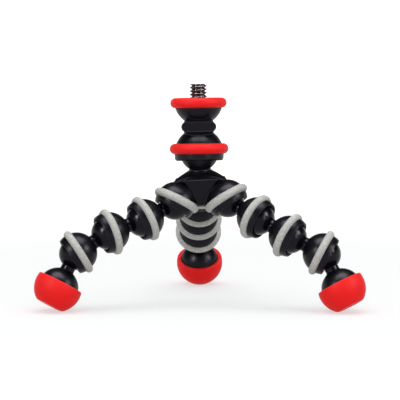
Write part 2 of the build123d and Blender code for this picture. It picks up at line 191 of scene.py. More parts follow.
# Puts points and faces into a new mesh, turned so that its volume is positive, shades it smooth, and keeps
# how sharp each point is as the attribute "edge"
def meshOf(name, points, quads, triangles=(), weld=False):
    quads = np.asarray(quads, np.int64).reshape(-1, 4)
    triangles = np.asarray(triangles, np.int64).reshape(-1, 3)
    halves = np.vstack([quads[:, :3], quads[:, [0, 2, 3]], triangles])
    a, b, c = (points[halves[:, corner]] for corner in range(3))
    if np.einsum("ij,ij->i", a, np.cross(b, c)).sum() < 0:
        quads, triangles = quads[:, ::-1], triangles[:, ::-1]
    mesh = bpy.data.meshes.new(name)
    mesh.vertices.add(len(points))
    mesh.vertices.foreach_set("co", (points * mm).astype(np.float32).ravel())
    loops = np.concatenate([quads.ravel(), triangles.ravel()])
    mesh.loops.add(len(loops))
    mesh.loops.foreach_set("vertex_index", loops.astype(np.int32))
    starts = np.concatenate([np.arange(len(quads)) * 4, len(quads) * 4 + np.arange(len(triangles)) * 3])
    mesh.polygons.add(len(starts))
    mesh.polygons.foreach_set("loop_start", starts.astype(np.int32))
    mesh.update(calc_edges=True)
    sharpness = mesh.attributes.new("edge", "FLOAT", "POINT")
    sharpness.data.foreach_set("value", edgeMask(points, quads, triangles).astype(np.float32))
    if weld:
        welded = bmesh.new()
        welded.from_mesh(mesh)
        bmesh.ops.remove_doubles(welded, verts=welded.verts, dist=0.002 * mm)
        welded.to_mesh(mesh)
        welded.free()
    mesh.validate()
    mesh.polygons.foreach_set("use_smooth", np.ones(len(mesh.polygons), bool))
    piece = bpy.data.objects.new(name, mesh)
    bpy.context.scene.collection.objects.link(piece)
    return piece


# Surface round an axis: start + way * height(u, v) + radius(u, v) * (first * cos v + second * sin v). Rows
# follow u and columns go once round in v. The first and last rows of an open surface lie on the axis and
# become poles.
def roundSurface(name, radii, heights, start, way, first, closed=False):
    second = np.cross(way, first)
    columns = radii.shape[1]
    angles = np.linspace(0, 2 * math.pi, columns, endpoint=False)
    spokes = np.outer(np.cos(angles), first) + np.outer(np.sin(angles), second)
    heights = np.broadcast_to(np.asarray(heights, float).reshape(len(radii), -1), radii.shape)
    inner = slice(None) if closed else slice(1, -1)
    rows = len(radii[inner])
    points = start + heights[inner][..., None] * way + radii[inner][..., None] * spokes[None]
    points = points.reshape(-1, 3)
    row = np.arange(rows if closed else rows - 1)[:, None] * columns
    onward = (np.arange(rows if closed else rows - 1)[:, None] + 1) % rows * columns
    column = np.arange(columns)[None]
    beside = (column + 1) % columns
    quads = np.stack([row + column, row + beside, onward + beside, onward + column], axis=-1)
    triangles = ()
    if not closed:
        poles = np.stack([start + way * heights[0, 0], start + way * heights[-1, 0]])
        top = len(points)
        points = np.vstack([points, poles])
        column, beside, last = column[0], beside[0], (rows - 1) * columns
        triangles = np.vstack([
            np.stack([np.full(columns, top), beside, column], axis=1),
            np.stack([np.full(columns, top + 1), last + column, last + beside], axis=1),
        ])
    return meshOf(name, points, quads, triangles)


# Surface of revolution of a profile of (radius, height) points
def turned(name, profile, start, way, turns=128, closed=False):
    radii = np.repeat(profile[:, :1], turns, axis=1)
    return roundSurface(name, radii, profile[:, 1], start, way, squareTo(way), closed)


# Distance from the middle of a hexagon of the given half width to its side, in each direction
def hexagonRadius(angles, half):
    return half / np.cos((angles + math.pi / 6) % (math.pi / 3) - math.pi / 6)


# Marks how polished each point is as the attribute "polish": 1 up to a distance from the middle, 0 past it
def polished(piece, middle, size, fade=0.3):
    points = np.empty(len(piece.data.vertices) * 3, np.float32)
    piece.data.vertices.foreach_get("co", points)
    away = np.linalg.norm(points.reshape(-1, 3) / mm - middle, axis=1)
    mark = piece.data.attributes.new("polish", "FLOAT", "POINT")
    mark.data.foreach_set("value", np.clip((size - away) / fade, 0, 1).astype(np.float32))
    return piece


# Gives a piece its material and its body, and hides the CAD nodes that it stands for
def dress(piece, body, slotName, material, *nodes):
    piece.data.materials.clear()
    piece.data.materials.append(material)
    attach(piece, body)
    if nodes:
        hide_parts(*nodes)


# Materials

def groupNode(tree, group, **values):
    node = tree.nodes.new("ShaderNodeGroup")
    node.node_tree = group
    for name, value in values.items():
        node.inputs[name].default_value = value
    return node


# Fine grain of a moulded or rubber surface: two noises on Object coordinates, mixed by a share. Height is for
# a bump, Blotch changes slowly over the piece, and Specks is where the fine noise is brightest.
noiseRange = {"detail": 3.0, "speckFull": 0.8, "blotch": (0.3, 0.7)}


def makeGrain():
    group = bpy.data.node_groups.new("surfaceGrain", "ShaderNodeTree")
    interface = group.interface
    for name in ("Fine", "Coarse", "Share", "Speck"):
        interface.new_socket(name=name, in_out="INPUT", socket_type="NodeSocketFloat")
    for name in ("Height", "Blotch", "Specks"):
        interface.new_socket(name=name, in_out="OUTPUT", socket_type="NodeSocketFloat")
    nodes, links = group.nodes, group.links
    source, result = nodes.new("NodeGroupInput"), nodes.new("NodeGroupOutput")
    place = nodes.new("ShaderNodeTexCoord")
    fine, coarse = nodes.new("ShaderNodeTexNoise"), nodes.new("ShaderNodeTexNoise")
    for noise, name in ((fine, "Fine"), (coarse, "Coarse")):
        noise.inputs["Detail"].default_value = noiseRange["detail"]
        links.new(place.outputs["Object"], noise.inputs["Vector"])
        links.new(source.outputs[name], noise.inputs["Scale"])
    mix = nodes.new("ShaderNodeMix")
    mix.data_type = "FLOAT"
    links.new(source.outputs["Share"], mix.inputs["Factor"])
    links.new(coarse.outputs["Fac"], mix.inputs["A"])
    links.new(fine.outputs["Fac"], mix.inputs["B"])
    specks = nodes.new("ShaderNodeMapRange")
    links.new(fine.outputs["Fac"], specks.inputs["Value"])
    links.new(source.outputs["Speck"], specks.inputs["From Min"])
    specks.inputs["From Max"].default_value = noiseRange["speckFull"]
    links.new(mix.outputs["Result"], result.inputs["Height"])
    links.new(coarse.outputs["Fac"], result.inputs["Blotch"])
    links.new(specks.outputs["Result"], result.inputs["Specks"])
    return group


grain = makeGrain()


def mixColour(tree, base, colour, factor):
    node = tree.nodes.new("ShaderNodeMix")
    node.data_type = "RGBA"
    if isinstance(base, tuple):
        node.inputs["A"].default_value = (*base, 1)
    else:
        tree.links.new(base, node.inputs["A"])
    node.inputs["B"].default_value = (*colour, 1)
    tree.links.new(factor, node.inputs["Factor"])
    return node.outputs["Result"]


def times(tree, value, amount):
    node = tree.nodes.new("ShaderNodeMath")
    node.operation = "MULTIPLY"
    node.inputs[1].default_value = amount
    tree.links.new(value, node.inputs[0])
    return node.outputs["Value"]


# A plastic, rubber or metal of two close tones that follow the grain, paler on its sharp edges, partly as rubbed
# wear and partly as a painted highlight along the edges, and smoother where it is polished
def makeMaterial(name, look):
    material = bpy.data.materials.new(name)
    material.use_nodes = True
    tree = material.node_tree
    nodes, links = tree.nodes, tree.links
    shader = nodes["Principled BSDF"]
    shader.inputs["Metallic"].default_value = look.get("metallic", 0.0)
    shader.inputs["Specular IOR Level"].default_value = look.get("specular", 0.5)
    shader.inputs["Specular Tint"].default_value = (*look.get("gloss", (1, 1, 1)), 1)
    shader.inputs["Sheen Weight"].default_value = look.get("sheen", 0.0)
    shader.inputs["Sheen Roughness"].default_value = look.get("sheenRough", 0.5)
    noise = groupNode(tree, grain, Fine=look["fine"], Coarse=look["coarse"], Share=look["share"],
                      Speck=look["speckFrom"])
    edge = nodes.new("ShaderNodeAttribute")
    edge.attribute_name = "edge"
    tone = mixColour(tree, look["dark"], look["light"], noise.outputs["Height"])
    specks = times(tree, noise.outputs["Specks"], look["specks"])
    speckled = mixColour(tree, tone, look["speckColour"], specks)
    # Sharp edges take a paler colour: mostly a painted edge highlight, with some rubbed wear
    edgeWornAndSheened = mixColour(tree, speckled, look["edgeWearAndSheenColour"], times(tree, edge.outputs["Fac"], look["edgeWearAndSheen"]))
    links.new(edgeWornAndSheened, shader.inputs["Base Color"])
    gloss = nodes.new("ShaderNodeMapRange")
    gloss.inputs["From Min"].default_value, gloss.inputs["From Max"].default_value = noiseRange["blotch"]
    gloss.inputs["To Min"].default_value, gloss.inputs["To Max"].default_value = look["rough"]
    links.new(noise.outputs["Blotch"], gloss.inputs["Value"])
    polish = nodes.new("ShaderNodeAttribute")
    polish.attribute_name = "polish"
    roughness = nodes.new("ShaderNodeMath")
    roughness.operation = "ADD"
    links.new(gloss.outputs["Result"], roughness.inputs[0])
    links.new(times(tree, polish.outputs["Fac"], look.get("polish", 0.0)), roughness.inputs[1])
    links.new(roughness.outputs["Value"], shader.inputs["Roughness"])
    bump = nodes.new("ShaderNodeBump")
    bump.inputs["Strength"].default_value = look["bump"]
    bump.inputs["Distance"].default_value = look["bumpDepth"]
    links.new(noise.outputs["Height"], bump.inputs["Height"])
    links.new(bump.outputs["Normal"], shader.inputs["Normal"])
    return material


looks = {
    # On the black plastics the paler sharp edges are painted highlights: thin light lines on lips, mouths, collars
    # and seats
    "blackPlastic": {
        "dark": (0.0016, 0.0016, 0.0034), "light": (0.0034, 0.0032, 0.0062), "specks": 0.25,
        "speckColour": (0.006, 0.006, 0.007), "fine": 2600, "coarse": 160, "share": 0.55, "speckFrom": 0.6,
        "rough": (0.3, 0.38), "polish": -0.14, "edgeWearAndSheen": 0.6, "edgeWearAndSheenColour": (0.05, 0.049, 0.055), "bump": 0.25,
        "bumpDepth": 0.00001, "specular": 0.16, "gloss": (0.93, 0.9, 1.0),
    },
    "linerPlastic": {
        "dark": (0.0012, 0.0012, 0.0015), "light": (0.002, 0.002, 0.0024), "specks": 0.2,
        "speckColour": (0.004, 0.004, 0.004), "fine": 2600, "coarse": 300, "share": 0.6, "speckFrom": 0.6,
        "rough": (0.5, 0.6), "edgeWearAndSheen": 0.1, "edgeWearAndSheenColour": (0.01, 0.01, 0.01), "bump": 0.3, "bumpDepth": 0.00001,
        "specular": 0.04,
    },
    "greyRubber": {
        "dark": (0.28, 0.277, 0.262), "light": (0.66, 0.653, 0.622), "specks": 0.5,
        "speckColour": (0.74, 0.73, 0.7), "fine": 1500, "coarse": 420, "share": 0.8, "speckFrom": 0.55,
        "rough": (0.6, 0.75), "edgeWearAndSheen": 0.3, "edgeWearAndSheenColour": (0.6, 0.59, 0.56), "bump": 0.6, "bumpDepth": 0.00003,
        "sheen": 0.05, "sheenRough": 0.4, "specular": 0.3,
    },
    "redRubber": {
        "dark": (0.86, 0.009, 0.010), "light": (0.97, 0.020, 0.019), "specks": 0.2,
        "speckColour": (0.97, 0.05, 0.045), "fine": 2400, "coarse": 220, "share": 0.5, "speckFrom": 0.6,
        "rough": (0.42, 0.52), "edgeWearAndSheen": 0.4, "edgeWearAndSheenColour": (0.96, 0.07, 0.06), "bump": 0.35,
        "bumpDepth": 0.00002, "specular": 0.09,
    },
    # On the steel the paler sharp edges paint bright highlight lines along the thread crests
    "platedSteel": {
        "dark": (0.03, 0.025, 0.025), "light": (0.06, 0.05, 0.05), "specks": 0.2,
        "speckColour": (0.12, 0.11, 0.1), "fine": 3500, "coarse": 700, "share": 0.6, "speckFrom": 0.6,
        "rough": (0.08, 0.15), "edgeWearAndSheen": 0.5, "edgeWearAndSheenColour": (0.75, 0.72, 0.7), "bump": 0.1,
        "bumpDepth": 0.00001, "metallic": 1.0,
    },
}
# The hub panels' plastic paints strong pale lines along all its edges: painted edge highlights
looks["edgedPlastic"] = {
    **looks["blackPlastic"], "rough": (0.28, 0.36), "polish": -0.16, "edgeWearAndSheen": 1.0,
    "edgeWearAndSheenColour": (0.075, 0.074, 0.08), "specular": 0.14,
}
materials = {name: makeMaterial(name, look) for name, look in looks.items()}
print("materials made:", len(materials))


# The leg pieces

# Ring: a round tube outside, cut flat where it grips the dome
def ringProfile(seat, out, width, back, soft=0.05):
    tube = width / 2
    return softened(np.vstack([
        [(seat, -back - tube)],
        arc((out - tube, -back), tube, -90, 90),
        [(seat, -back + tube)],
    ]), soft, closed=True)


# Liner: a thin round shell between two heights
def linerProfile(inside, outside, rim, depth, soft=0.05):
    return softened(np.vstack([
        arc((0, 0), outside, angleUp(outside, -depth), angleUp(outside, rim)),
        arc((0, 0), inside, angleUp(inside, rim), angleUp(inside, -depth)),
    ]), soft, closed=True)


# Hollow fillet from a straight neck up to the round surface above it, whose middle is at the given height
def neckFillet(neck, size, middle, soft, count=12):
    high = middle - math.sqrt((size + soft) ** 2 - (neck + soft) ** 2)
    turn = math.degrees(math.atan2(middle - high, -(neck + soft)))
    return arc((neck + soft, high), soft, 180, turn, count)


# Dome with its seat for the ring and its cavity for the ball, from an angle on the dome to the cavity's pole
def domeProfile(bottom, fromAngle, ringWidth):
    dome, cavity, lift = legJoint["dome"], legJoint["cavity"], legJoint["domeBack"]
    low, high = -legRing["back"] - ringWidth / 2, -legRing["back"] + ringWidth / 2
    mouth, lip = legJoint["mouth"], legJoint["mouth"] - legJoint["mouthChamfer"]
    return np.vstack([
        bottom,
        arc((0, -lift), dome, fromAngle, angleUp(dome, low + lift)),
        [(legRing["seat"], low), (legRing["seat"], high)],
        arc((0, -lift), dome, angleUp(dome, high + lift), angleUp(dome, mouth + lift)),
        arc((0, 0), cavity, angleUp(cavity, lip), -90),
    ])


linkStart, _ = linkPlace("left", 1)
linkNext, _ = linkPlace("left", 2)
pitch = float(np.linalg.norm(linkNext - linkStart))


# A leg ball on its neck, from the ball's pole to the start of the round surface above, and the angle reached
# there
def ballAndNeck(drop, size, middle):
    fillet = neckFillet(legJoint["neck"], size, middle, legJoint["neckFillet"])
    blend = neckFillet(legJoint["neck"], legJoint["ball"], 0, legJoint["ballBlend"])
    blend = (blend * (1, -1))[::-1] - (0, drop)
    reached = math.degrees(math.atan2(fillet[-1, 1] - middle, fillet[-1, 0]))
    ballEnd = math.degrees(math.atan2(blend[0, 1] + drop, blend[0, 0]))
    return np.vstack([arc((0, -drop), legJoint["ball"], -90, ballEnd), blend, fillet]), reached


bottom, reached = ballAndNeck(pitch, legJoint["dome"], -legJoint["domeBack"])
linkProfile = softened(domeProfile(bottom, reached, legRing["width"]), legJoint["soft"])

lastBall, _ = linkPlace("left", 3)
footMiddle, _ = footPlace("left")
reach = float(np.linalg.norm(footMiddle - lastBall))
coreEnd = foot["length"] - foot["floor"] - foot["gap"]
pocketEnd = coreEnd - foot["pocketDeep"]
bottom, reached = ballAndNeck(reach, foot["core"], 0)
coreProfile = softened(np.vstack([
    bottom,
    arc((0, 0), foot["core"], reached, angleUp(foot["core"], coreEnd)),
    [(foot["pocket"], coreEnd), (foot["pocket"], pocketEnd), (0, pocketEnd)],
]), legJoint["soft"])

bootOut = foot["core"] + foot["wall"]
cornerUp = foot["length"] - foot["corner"]
cornerOut = math.sqrt((bootOut - foot["corner"]) ** 2 - cornerUp ** 2)
cornerTurn = math.degrees(math.atan2(cornerUp, cornerOut))
bootIn = foot["core"] + foot["gap"]
bootProfile = softened(np.vstack([
    [(0, foot["length"])],
    arc((cornerOut, cornerUp), foot["corner"], 90, cornerTurn),
    arc((0, 0), bootOut, cornerTurn, angleUp(bootOut, -foot["rimBack"])),
    arc((0, 0), bootIn, angleUp(bootIn, -foot["rimBack"]), angleUp(bootIn, coreEnd + foot["gap"])),
    [(0, coreEnd + foot["gap"])],
]), foot["bootSoft"])

rings = {
    "hub": ringProfile(legRing["seat"], legRing["out"], legRing["hubWidth"], legRing["back"]),
    "leg": ringProfile(legRing["seat"], legRing["out"], legRing["width"], legRing["back"]),
}
legLiner = linerProfile(legJoint["linerIn"], legJoint["linerOut"],
                        legJoint["mouth"] - legJoint["linerRecess"], legJoint["linerDepth"])
ballShine = legJoint["ball"] + 1.2    # a leg ball and the start of its neck are polished

for side in sides:
    for number in range(4):
        start, way = linkPlace(side, number)
        body = "hub" if number == 0 else f"{side}_segment_{number}"
        ringNode = f"{side}_hub_ring" if number == 0 else f"{side}_ring_{number}"
        dress(turned(f"{side}RubberRing{number}", rings["leg" if number else "hub"], start, way, closed=True),
              body, "rubber_grey", materials["greyRubber"], ringNode)
        dress(turned(f"{side}Liner{number}", legLiner, start, way, closed=True),
              f"{side}_cradle_{number + 1}", "liner_plastic", materials["linerPlastic"],
              f"{side}_liner_{number + 1}")
        if number:
            link = turned(f"{side}Link{number}", linkProfile, start, way)
            dress(polished(link, start - way * pitch, ballShine), body, "black_plastic",
                  materials["blackPlastic"], f"{side}_link_{number}")
    start, way = footPlace(side)
    core = turned(f"{side}FootCore", coreProfile, start, way)
    dress(polished(core, start - way * reach, ballShine), f"{side}_foot", "black_plastic",
          materials["blackPlastic"], f"{side}_foot_core")
    dress(turned(f"{side}Boot", bootProfile, start, way), f"{side}_foot", "rubber_red",
          materials["redRubber"], f"{side}_foot_boot")
print("legs made")


# The hub: a three-sided body whose shoulder slopes down to three flats and, further down, to an arm over each
# socket. A round scoop under each arm leaves a web behind the socket's dome.

hub = {
    "ballUp": 17.495, "flat": 6.2, "corner": 10.6, "bottom": -2.25, "top": 10.6, "collar": 4.7,
    "flatDrop": 2.0, "flatSoft": 0.05, "armDrop": 2.45, "armThick": 0.35, "armSoft": 0.03, "armEdge": 0.06,
    "chamfer": 0.9, "scoop": 8.7, "scoopOut": 12.9, "scoopUp": 0.7, "web": 2.4, "webOut": 10.7,
    "socketOut": 11.2, "shell": 7.0, "bore": 2.55, "boreDeep": 6.55, "soft": 0.14, "edgeSoft": 0.08,
    "columns": 480, "rowStep": 0.1,
}
hub["armBottom"] = hub["top"] - hub["armDrop"] - hub["armThick"]
hubUp = wayOf(places["head_pan"])
hubMiddle = pointOf(places["head_pan"]) - hubUp * hub["ballUp"]


# Radius at each height and angle: the smaller of the flats, which slope in to the collar at the top, and the
# corner circle, which narrows to the collar in a cone, less the bottom chamfer. Under the arms the near side
# of the scoop's sphere takes away from it and the web puts a thin wall back. The web ends inside the wall of
# the socket's dome, at the near side of a sphere round the ball. Angles count from the rear socket.
def hubRadius(heights, angles):
    off = (angles + math.pi / 3) % (2 * math.pi / 3) - math.pi / 3
    away = hub["top"] - heights
    flatShare = softMin(away / hub["flatDrop"], 1.0, hub["flatSoft"])
    armShare = softMin(away / hub["armDrop"], 1.0, hub["armSoft"])
    flat = hub["collar"] + (hub["flat"] - hub["collar"]) * flatShare
    corner = hub["collar"] + (hub["corner"] - hub["collar"]) * armShare
    whole = softMin(flat / np.cos(math.pi / 3 - np.abs(off)), corner + 0 * off, hub["soft"])
    whole = whole - np.maximum(hub["chamfer"] - (heights - hub["bottom"]), 0)
    inside = hub["scoop"] ** 2 - (heights - hub["scoopUp"]) ** 2 - (hub["scoopOut"] * np.sin(off)) ** 2
    near = hub["scoopOut"] * np.cos(off) - np.sqrt(np.maximum(inside, 0))
    scooped = np.where(inside > 0, softMin(whole, near, hub["edgeSoft"]), whole)
    web = np.minimum(hub["webOut"], hub["web"] / 2 / np.maximum(np.abs(np.sin(off)), 1e-6))
    shell = hub["shell"] ** 2 - heights ** 2 - (hub["socketOut"] * np.sin(off)) ** 2
    behind = hub["socketOut"] * np.cos(off) - np.sqrt(np.maximum(shell, 0))
    web = np.where(shell > 0, np.minimum(web, behind), web)
    scooped = np.where(heights > 0, np.maximum(scooped, web), scooped)
    blend = np.clip((heights - hub["armBottom"]) / hub["armEdge"], 0, 1)
    return scooped + (whole - scooped) * blend


angles = np.linspace(0, 2 * math.pi, hub["columns"], endpoint=False)
levels = np.unique(np.concatenate([
    np.arange(hub["bottom"], hub["top"], hub["rowStep"]), [hub["top"]],
    hub["armBottom"] + np.linspace(0, hub["armEdge"], 5),
]))
sideRadii = hubRadius(levels[:, None], angles[None])
boreRadii = np.full((2, hub["columns"]), hub["bore"])
nothing = np.zeros((1, hub["columns"]))
hubRadii = np.vstack([nothing, sideRadii, boreRadii, nothing])
boreEnd = hub["top"] - hub["boreDeep"]
hubHeights = np.concatenate([[hub["bottom"]], levels, [hub["top"], boreEnd, boreEnd]])
rearStart, _ = linkPlace("rear", 0)
rearOut = squareTo(hubUp, tuple(rearStart - hubMiddle))
hubCore = roundSurface("hubCore", hubRadii, hubHeights, hubMiddle, hubUp, rearOut)
dress(hubCore, "hub", "black_plastic", materials["blackPlastic"], "hub_body")
socketBottom = [(0, -legJoint["dome"] - legJoint["domeBack"])]
socketProfile = softened(domeProfile(socketBottom, -90, legRing["hubWidth"]), legJoint["soft"])
for side in sides:
    start, way = linkPlace(side, 0)
    dress(turned(f"{side}HubSocket", socketProfile, start, way), "hub", "black_plastic",
          materials["blackPlastic"])


# The raised panel on each flat narrows downwards between hollow sides: half its width is the bottom's, plus
# the difference to the top's times a power of the share of the height. Its foot curves out in a hollow
# quarter circle and is polished.
panel = {
    "topHalf": 6.5, "bottomHalf": 1.6, "top": 8.55, "bottom": -1.0, "hollow": 1.7, "proud": 0.92,
    "sunk": 0.8, "round": 0.25, "foot": 0.9, "shine": 3.7, "shineOut": 1.0, "shineDown": 4.8, "turns": 240,
    "roundRows": 7, "faceRows": 28,
}


# Distance from the panel's middle to its outline in each direction, read between points along its four sides
def panelOutline(angles):
    half = (panel["top"] - panel["bottom"]) / 2
    share = np.linspace(0, 1, 120)
    out = panel["bottomHalf"] + (panel["topHalf"] - panel["bottomHalf"]) * share ** panel["hollow"]
    up = half * (2 * share - 1)
    over, under = out[-1] * (1 - 2 * share), out[0] * (2 * share - 1)
    x = np.concatenate([out, over[1:-1], -out[::-1], under[1:-1]])
    z = np.concatenate([up, half + 0 * over[1:-1], up[::-1], -half + 0 * under[1:-1]])
    away = np.interp(angles, np.arctan2(z, x), np.hypot(x, z), period=2 * math.pi)
    return (np.roll(away, 1) + 2 * away + np.roll(away, -1)) / 4


turns = np.linspace(0, 2 * math.pi, panel["turns"], endpoint=False)
rounding = arc((-panel["round"], panel["proud"] - panel["round"]), panel["round"], 0, 90, panel["roundRows"])
inward = np.linspace(0.97, 0, panel["faceRows"])    # rows of the face shrink towards its middle
outline = panelOutline(turns)
panelRadii = np.vstack([
    0 * turns, [outline], outline + rounding[:, :1], inward[:, None] * (outline - panel["round"]),
])
panelUp = panelRadii * np.sin(turns) + (panel["top"] - panel["bottom"]) / 2
hollow = np.clip(1 - panelUp / panel["foot"], 0, 1)
hollow = panel["foot"] * (1 - np.sqrt(1 - hollow ** 2))
panelHeights = np.concatenate([[-panel["sunk"]] * 2, rounding[:, 1], panel["proud"] + 0 * inward])[:, None]
panelHeights = panelHeights + hollow * (np.arange(len(panelRadii)) > 1)[:, None]
panelMiddle = hubMiddle + hubUp * (panel["top"] + panel["bottom"]) / 2
for number in range(3):
    turn = math.pi / 3 + number * 2 * math.pi / 3
    facing = rearOut * math.cos(turn) + np.cross(hubUp, rearOut) * math.sin(turn)
    base = panelMiddle + facing * hub["flat"]
    plate = roundSurface(f"hubPanel{number + 1}", panelRadii, panelHeights, base, facing,
                         np.cross(hubUp, facing))
    shine = base + facing * panel["shineOut"] - hubUp * panel["shineDown"]
    # The panel's plastic paints pale highlight lines along its edges
    dress(polished(plate, shine, panel["shine"]), "hub", "black_plastic", materials["edgedPlastic"])


# A short grey rubber bar with round ends joins each two hub rings where their middle circles come closest, and
# lies a little above that line. The round ends start short of the circles, so that they stay inside the rings.
bridge = {"round": 0.66, "up": 0.5, "short": 0.3, "rows": 10, "turns": 32}


# Circle round a hub socket's axis, along the middle of its ring's round outside
def ringCircle(side):
    start, way = linkPlace(side, 0)
    first = squareTo(way)
    turns = np.linspace(0, 2 * math.pi, 360, endpoint=False)[:, None]
    spokes = np.cos(turns) * first + np.sin(turns) * np.cross(way, first)
    return start - way * legRing["back"] + (legRing["out"] - legRing["hubWidth"] / 2) * spokes


for number, (side, other) in enumerate((("left", "right"), ("right", "rear"), ("rear", "left"))):
    one, two = ringCircle(side), ringCircle(other)
    apart = np.linalg.norm(one[:, None] - two[None], axis=2)
    a, b = np.unravel_index(apart.argmin(), apart.shape)
    way, long, short = unit(two[b] - one[a]), apart.min(), bridge["short"]
    barProfile = np.vstack([
        arc((0, short), bridge["round"], -90, 0, bridge["rows"]),
        arc((0, long - short), bridge["round"], 0, 90, bridge["rows"]),
    ])
    bar = turned(f"hubBridge{number + 1}", barProfile, one[a] + hubUp * bridge["up"], way, bridge["turns"])
    dress(bar, "hub", "rubber_grey", materials["greyRubber"])
print("hub made")


# The head: ball stud, housing with its grip and badge place, red ring, liner, pad and screw

head = {
    "ball": 7.05, "neck": 4.0, "collar": 4.7, "collarTall": 0.06, "flare": 0.72, "shank": 2.5,
    "shankLong": 6.5, "studSoft": 0.06, "running": 0.05, "linerWall": 0.55, "linerDepth": 3.5,
    "linerRecess": 0.2, "domeWall": 1.3, "mouth": 3.0, "lipOut": 0.1, "lipTaper": 0.22, "lipRound": 0.8,
    "bowlGap": 1.0, "bowlCut": 2.7, "bowlRound": 0.3, "gripDeep": 6.6,
    "gripSteps": ((-3.3, 0.0), (-3.2, 4.4), (-2.1, 5.55), (1.9, 5.4), (3.8, 4.2), (3.9, 0.0)),
    "gripFront": ((-3.3, 6.6), (-1.5, 5.95), (1.3, 6.5), (3.9, 5.5)), "gripSoft": 0.3, "joinSoft": 0.12,
    "ringSeat": 0.4, "ringOut": 1.8, "ringWidth": 3.86, "ringUp": 1.39, "columns": 320, "turns": 160,
}
head["linerIn"] = head["ball"] + head["running"]
head["linerOut"] = head["linerIn"] + head["linerWall"]
head["cavity"] = head["linerOut"] + head["running"]
head["dome"] = head["cavity"] + head["domeWall"]
head["bowlMiddle"] = 2 * head["dome"] + head["bowlGap"]
head["bowlTop"] = head["bowlMiddle"] - head["bowlCut"]
head["gripMiddle"] = head["bowlMiddle"] / 2
headUp = wayOf(places["head_spin"])
headMiddle = pointOf(places["head_spin"])
headAcross = squareTo(headUp, (1.0, 0.0, 0.0))
headFront = np.cross(headAcross, headUp)

collarBase = hub["top"] + head["running"]
flareUp = collarBase + head["collarTall"] + head["flare"]
shankEnd = collarBase - head["shankLong"]
studProfile = softened(np.vstack([
    [(0, shankEnd), (head["shank"], shankEnd), (head["shank"], collarBase), (head["collar"], collarBase)],
    arc((head["neck"] + head["flare"], flareUp), head["flare"], 270, 180, 16),
    arc((0, hub["ballUp"]), head["ball"], -angleOff(head["ball"], head["neck"]), 90),
]), head["studSoft"])
dress(turned("headBall", studProfile, hubMiddle, hubUp, head["turns"]), "head_stud", "black_plastic",
      materials["blackPlastic"], "head_ball_stud")
headLiner = linerProfile(head["linerIn"], head["linerOut"], head["mouth"] - head["linerRecess"],
                         head["linerDepth"])
dress(turned("headLiner", headLiner, headMiddle, -headUp, head["turns"], closed=True), "head_cradle",
      "liner_plastic", materials["linerPlastic"], "head_liner")
headRing = ringProfile(head["dome"] - head["ringSeat"], head["dome"] + head["ringOut"], head["ringWidth"],
                       -head["ringUp"])
dress(turned("headRubberRing", headRing, headMiddle, headUp, head["turns"], closed=True), "head",
      "rubber_red", materials["redRubber"], "head_ring")


# Radius of the housing at each height and angle: the larger of the round part, which is the lip, the dome or
# the bowl, and of the grip, whose section is a rectangle with rounded corners. Half the grip's width and its
# depth are read between the steps of its outline, and the width is averaged with a bell-shaped window. The
# red ring's seat is cut in last.
def housingRadius(heights, angles):
    lip = head["dome"] + head["lipOut"] + heights * head["lipTaper"] / head["mouth"]
    dome = np.sqrt(np.maximum(head["dome"] ** 2 - heights ** 2, 0))
    bowl = np.sqrt(np.maximum(head["dome"] ** 2 - (heights - head["bowlMiddle"]) ** 2, 0))
    round_ = np.where(heights < 0, lip, np.maximum(dome, bowl))
    steps = np.array(head["gripSteps"])
    fine = np.linspace(steps[0, 0], steps[-1, 0], 400)
    half = np.interp(fine, steps[:, 0], steps[:, 1])
    beside = 40    # points of the window on each side of its middle
    window = np.exp(-0.5 * (np.arange(-beside, beside + 1) * (fine[1] - fine[0]) / head["gripSoft"]) ** 2)
    half = np.convolve(np.pad(half, beside), window / window.sum(), "valid")
    half = np.interp(heights, head["gripMiddle"] + fine, half, left=0, right=0)
    across = half / np.maximum(np.abs(np.cos(angles)), 1e-6)
    front = np.array(head["gripFront"])
    deep = np.interp(heights, head["gripMiddle"] + front[:, 0], front[:, 1])
    along = deep / np.maximum(np.abs(np.sin(angles)), 1e-6)
    grip = np.maximum(softMin(across, along, head["gripSoft"]), 0)
    body = softMax(round_ + 0 * grip, grip + 0 * round_, head["joinSoft"])
    seat = head["dome"] - head["ringSeat"]
    inSeat = np.abs(heights - head["ringUp"]) < head["ringWidth"] / 2
    return np.where(inSeat, seat, body)


angles = np.linspace(0, 2 * math.pi, head["columns"], endpoint=False)
lipSoft, bowlRound = head["lipRound"], head["bowlRound"]
lipEnd = head["dome"] + head["lipOut"] - head["lipTaper"]
seatLow, seatHigh = head["ringUp"] - head["ringWidth"] / 2, head["ringUp"] + head["ringWidth"] / 2
beyond = 0.01    # from the seat's edge to the rows on either side of it
levels = np.concatenate([
    np.linspace(-head["mouth"] + lipSoft, seatLow - beyond, 14),
    head["ringUp"] + head["ringWidth"] / 2 * np.linspace(-0.998, 0.998, 5),
    np.linspace(seatHigh + beyond, head["bowlTop"] - bowlRound - 0.05, 118),
])
outer = housingRadius(levels[:, None], angles[None])
cavityLine = arc((0, 0), head["cavity"], 90, angleUp(head["cavity"], -head["mouth"]), 40)
lipLine = arc((lipEnd - lipSoft, -head["mouth"] + lipSoft), lipSoft, -90, 0, 12)[:-1]
bowlEdge = float(np.sqrt(head["dome"] ** 2 - (head["bowlTop"] - head["bowlMiddle"]) ** 2))
topLine = arc((bowlEdge - bowlRound, head["bowlTop"] - bowlRound), bowlRound, 10, 90, 6)
screwFoot = {"half": 4.5, "thick": 1.6, "gap": 0.02}
recess = hexagonRadius(angles, screwFoot["half"] + screwFoot["gap"])[None]
recessUp = head["bowlTop"] - screwFoot["thick"] - screwFoot["gap"]
wide = np.ones((1, head["columns"]))
housingRadii = np.vstack([
    cavityLine[:, :1] * wide, lipLine[:, :1] * wide, outer, topLine[:, :1] * wide, recess, recess, 0 * wide,
])
